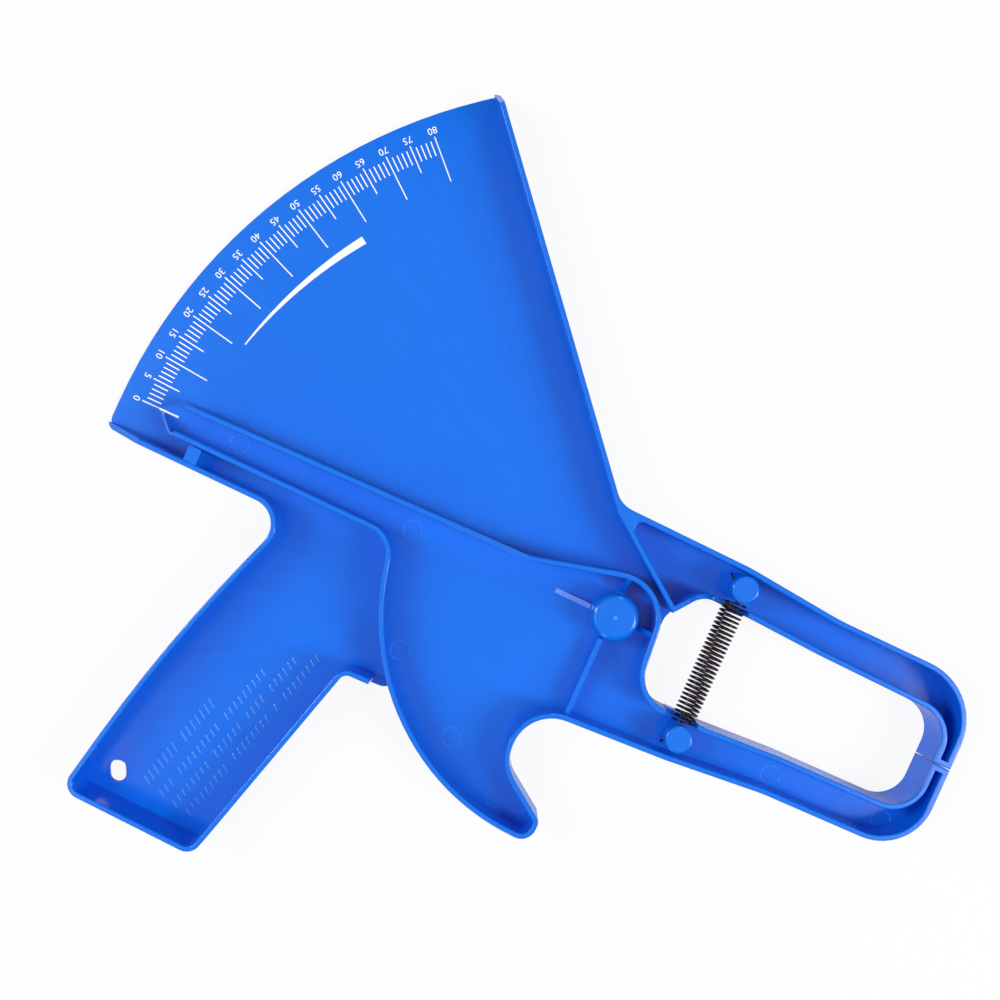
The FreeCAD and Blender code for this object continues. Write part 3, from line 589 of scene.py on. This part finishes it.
def grip_texture():
    points, faces = [], []
    along = Vector((math.cos(GRIP_ANGLE), math.sin(GRIP_ANGLE), 0))
    slanted = Matrix.Rotation(math.pi / 2 - STROKE_SLANT, 3, "Z") @ along
    for (x, y), length, groups in GRIP_ROWS:
        place = Vector((x * MM, y * MM, floor_level))
        for count in groups:
            for _ in range(count):
                foot = place - slanted * length * MM / 2
                stroke(points, faces, foot, slanted, length * MM)
                place = place + along * STROKE_PITCH
            place = place + along * GROUP_GAP
    return new_mesh("grip_strokes", points, faces)


# the strokes get the paler blue: a painted highlight
grip = add_piece("grip_strokes", grip_texture(), sheen_painted_plastic)
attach(grip, "frame")
print("grip:", len(grip.data.polygons), "faces")


# %% [markdown]
# ## Rims round the ejector marks
#
# When the mould opens, round pins push the lever out of it. Each pin leaves a shallow round mark,
# which is in the CAD, and the melt that crept round the pin leaves a thin rim about it. A rim is a
# ridge with three rings of points: outer foot, crest and inner foot.

# %% Ejector rims
EJECTOR_MARKS = ((-122.4, 0.4), (-64.7, -1.7), (-53.3, -36.1), (-28.7, -53.2), (-9.1, -64.4),
                 (62.9, -24.1), (98.6, -22.5))                  # centres on the lever, mm
RIM_RINGS = ((2.88, -0.03), (2.76, 0.09), (2.60, -0.03))        # radius and height, mm
RIM_SIDES = 48


def ring_points(centre, radius, level, sides):
    """A level ring; its centre and radius are in mm, and its level is in metres."""
    x, y = centre
    angles = [2 * math.pi * side / sides for side in range(sides)]
    return [((x + radius * math.cos(angle)) * MM, (y + radius * math.sin(angle)) * MM, level)
            for angle in angles]


def ejector_rims():
    web_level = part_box("index_line")[0][2]
    points, faces = [], []
    for centre in EJECTOR_MARKS:
        starts = [len(points) + ring * RIM_SIDES for ring in range(len(RIM_RINGS))]
        for radius, height in RIM_RINGS:
            points += ring_points(centre, radius, web_level + height * MM, RIM_SIDES)
        for low, high in zip(starts, starts[1:] + starts[:1]):
            faces += band(low, high, RIM_SIDES)
    return new_mesh("ejector_rims", points, faces)


# the rims get the paler blue: a painted highlight
rims = add_piece("ejector_rims", ejector_rims(), sheen_painted_plastic)
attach(rims, "lever")
print("ejector rims:", len(EJECTOR_MARKS))


# %% [markdown]
# ## The gate's mark
#
# The melt enters a mould through a small gate, and where it was cut off a dot is left. The pivot
# pin has its dot in the middle of its head. It is a shallow turned cap: a few rings of points that
# shrink towards the top, like a pie's crust.

# %% Gate mark on the pivot's head
GATE_RINGS = ((0.62, -0.05), (0.58, 0.08), (0.46, 0.18), (0.24, 0.23))      # radius, height, mm
GATE_SIDES = 28


def gate_mark():
    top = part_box("pivot_pin")[1][2]
    points = []
    for radius, height in GATE_RINGS:
        points += ring_points((0, 0), radius, top + height * MM, GATE_SIDES)
    return new_mesh("gate_mark", points, stack(len(points), GATE_SIDES))


# the dot gets the paler blue: a painted highlight
gate = add_piece("gate_mark", gate_mark(), sheen_painted_plastic)
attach(gate, "frame")
print("gate mark:", len(gate.data.polygons), "faces")


# %% [markdown]
# ## The floor
#
# The caliper lies on a white table, as in a catalogue picture. The floor is bright to the camera,
# and to mirrors and glass, but lights the plastic only as paper would, and it keeps a faint
# shadow. Mirrors see less of that glow, or it would wash out the blue side walls.

# %% Floor
FLOOR_SIZE = 12.0
FLOOR_DROP = 0.4 * MM           # keeps the floor just below the caliper's back
PAPER = (0.86, 0.86, 0.87, 1.0)
WHITE = (1.0, 1.0, 1.0, 1.0)
GLOW_DIRECT, GLOW_IN_MIRRORS, GLOW_THROUGH_GLASS = 0.90, 0.20, 0.70


def floor_material():
    bench = Bench(bpy.data.materials.new("white_table"))
    paper = bench.node("ShaderNodeBsdfDiffuse", None, {"Color": PAPER})
    glow = bench.node("ShaderNodeEmission", None, {"Color": WHITE, "Strength": 1.0})
    direct = bench.node("ShaderNodeLightPath", output="Is Camera Ray")
    mirrored, through = direct.output("Is Glossy Ray"), direct.output("Is Transmission Ray")
    seen = GLOW_DIRECT * direct + GLOW_IN_MIRRORS * mirrored + GLOW_THROUGH_GLASS * through
    surface = bench.node("ShaderNodeMixShader", None, {0: seen, 1: paper, 2: glow})
    bench.node("ShaderNodeOutputMaterial", None, {"Surface": surface})
    return bench.owner


half = FLOOR_SIZE / 2
corners = [(-half, -half, 0), (half, -half, 0), (half, half, 0), (-half, half, 0)]
floor = add_piece("table", new_mesh("table", corners, [(0, 1, 2, 3)]), floor_material())
floor.location = (0, 0, -FLOOR_DROP)
print("floor:", FLOOR_SIZE, "m wide")


# %% [markdown]
# ## The camera
#
# The caliper is flat, so it is seen from straight above, where no wall hides its scale. The camera
# is close, so the walls lean outwards a little, which shows how deep they are. It is turned about
# its own axis, and the caliper lies aslant in the picture.

# %% Camera
TURN = math.radians(24.47)
LENS, SENSOR_WIDTH = 46.18, 36              # mm
CAMERA_PLACE = (-0.0446, 0.0173, 0.388)
NEAREST_SEEN = 0.01

camera_data = bpy.data.cameras.new("camera")
camera_data.lens = LENS
camera_data.sensor_width = SENSOR_WIDTH
camera_data.clip_start = NEAREST_SEEN
camera = bpy.data.objects.new("camera", camera_data)
camera.location = CAMERA_PLACE
camera.rotation_euler = (0, 0, TURN)
bpy.context.scene.collection.objects.link(camera)
bpy.context.scene.camera = camera
print("camera:", LENS, "mm lens,", CAMERA_PLACE[2], "m up")


# %% [markdown]
# ## The lamps
#
# Glossy plastic shows its shape by what it reflects. Large boxes overhead give the trays an even
# level, and narrow strips that stand lower round the table draw thin bright lines along the tops
# of the walls. One function makes both, from where a lamp stands in the camera's view.

# %% Lamps
def soft_box(name, right, up, height, width, length, power):
    """A lamp aimed at the caliper; right, up and the sides are as the camera sees them."""
    light = bpy.data.lights.new(name, "AREA")
    light.shape = "RECTANGLE"
    light.size = width
    light.size_y = length
    light.energy = power
    lamp = bpy.data.objects.new(name, light)
    turned = Matrix.Rotation(TURN, 4, "Z")
    aim = Vector((-right, -up, -height)).to_track_quat("-Z", "Y").to_matrix().to_4x4()
    lamp.matrix_world = turned @ Matrix.Translation((right, up, height)) @ aim
    bpy.context.scene.collection.objects.link(lamp)


LAMPS = (
    # name, then right, up, height, width and length (m), and power (W)
    ("left_box", -0.70, -0.02, 0.95, 0.75, 0.50, 2.8),
    ("right_box", 0.62, -0.27, 0.88, 0.30, 0.46, 2.7),
    ("top_box", 0.00, 0.00, 0.95, 0.85, 0.85, 1.1),
    ("left_strip", -0.70, 0.24, 0.58, 0.16, 0.60, 3.3),
    ("right_strip", 0.68, -0.26, 0.58, 0.16, 0.60, 3.8),
    ("upper_strip", 0.30, 0.68, 0.58, 0.14, 0.50, 1.0),
    ("lower_strip", -0.30, -0.68, 0.58, 0.14, 0.50, 1.0),
)
for lamp in LAMPS:
    soft_box(*lamp)
print("lamps:", len(LAMPS))


# %% [markdown]
# ## The room round the table
#
# A white room would light the blue from every side and flatten it. So the room is dim as a light,
# and white only where the camera looks at it, directly or through something clear. A ray is never
# both, so the two can simply be added.

# %% Room
ROOM_LIGHT = 0.07
ROOM_SEEN = 0.92


def studio_room():
    bench = Bench(bpy.data.worlds.new("studio"))
    direct = bench.node("ShaderNodeLightPath", output="Is Camera Ray")
    seen = direct + direct.output("Is Transmission Ray")
    strength = ROOM_LIGHT + (ROOM_SEEN - ROOM_LIGHT) * seen
    room = bench.node("ShaderNodeBackground", None, {"Color": WHITE, "Strength": strength})
    bench.node("ShaderNodeOutputWorld", None, {"Surface": room})
    return bench.owner


bpy.context.scene.world = studio_room()
bpy.context.scene.view_settings.view_transform = "Standard"
print("room:", ROOM_LIGHT, "as a light,", ROOM_SEEN, "to look at")
